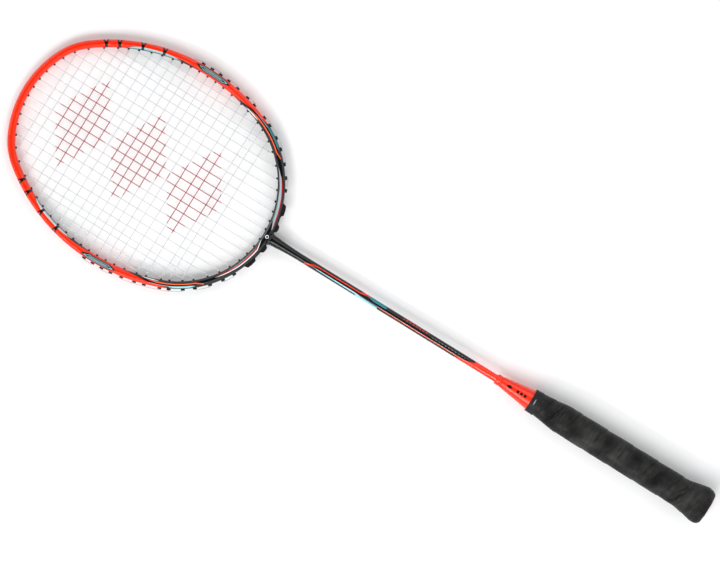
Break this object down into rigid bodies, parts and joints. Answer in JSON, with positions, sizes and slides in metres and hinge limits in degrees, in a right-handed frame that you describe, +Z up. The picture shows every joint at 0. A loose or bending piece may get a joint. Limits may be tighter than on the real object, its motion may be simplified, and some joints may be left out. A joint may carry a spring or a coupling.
{
  "type": "badminton racket",
  "caption": "Badminton racket with a closed oval carbon hoop, woven string face, slim round shaft, tapered cone and wrapped octagonal grip.",
  "frame": {"origin": "middle of the butt's end face, on the shaft's axis", "axes": "+Y along the shaft from the butt to the crown, +X to the right of the head, +Z up from the string face, so the racket lies flat with its strings level"},
  "size_m": [0.1954, 0.675, 0.0296],
  "materials": {
    "rim_lacquer": "glossy lacquer over carbon fibre",
    "black_lacquer": "glossy black lacquer over carbon fibre",
    "shaft_lacquer": "glossy lacquer over carbon fibre",
    "cone_plastic": "glossy moulded plastic",
    "grip_polyurethane": "matte tacky polyurethane tape",
    "finishing_vinyl": "satin vinyl tape",
    "handle_wood": "bare light wood",
    "cap_plastic": "fine matte moulded plastic",
    "medallion": "domed glossy sticker",
    "string_nylon": "smooth coated nylon string",
    "grommet_nylon": "satin moulded nylon",
    "joint_composite": "bare moulded carbon composite",
    "staple_steel": "plain wire"
  },
  "bodies": {
    "root": {"head_frame": "rim_lacquer", "throat_fairing": "black_lacquer", "t_joint": "joint_composite", "shaft": "shaft_lacquer", "cone_cap": "cone_plastic", "handle_core": "handle_wood", "butt_cap": "cap_plastic", "butt_disc": "medallion", "grip_tape": "grip_polyurethane", "finishing_band": "finishing_vinyl", "grip_staple": "staple_steel", "main_string": "string_nylon", "cross_string": "string_nylon", "crown_grommets": "grommet_nylon", "left_shoulder_grommets": "grommet_nylon", "right_shoulder_grommets": "grommet_nylon", "left_side_grommets": "grommet_nylon", "right_side_grommets": "grommet_nylon", "left_throat_strip": "grommet_nylon", "right_throat_strip": "grommet_nylon"}
  },
  "joints": []
}
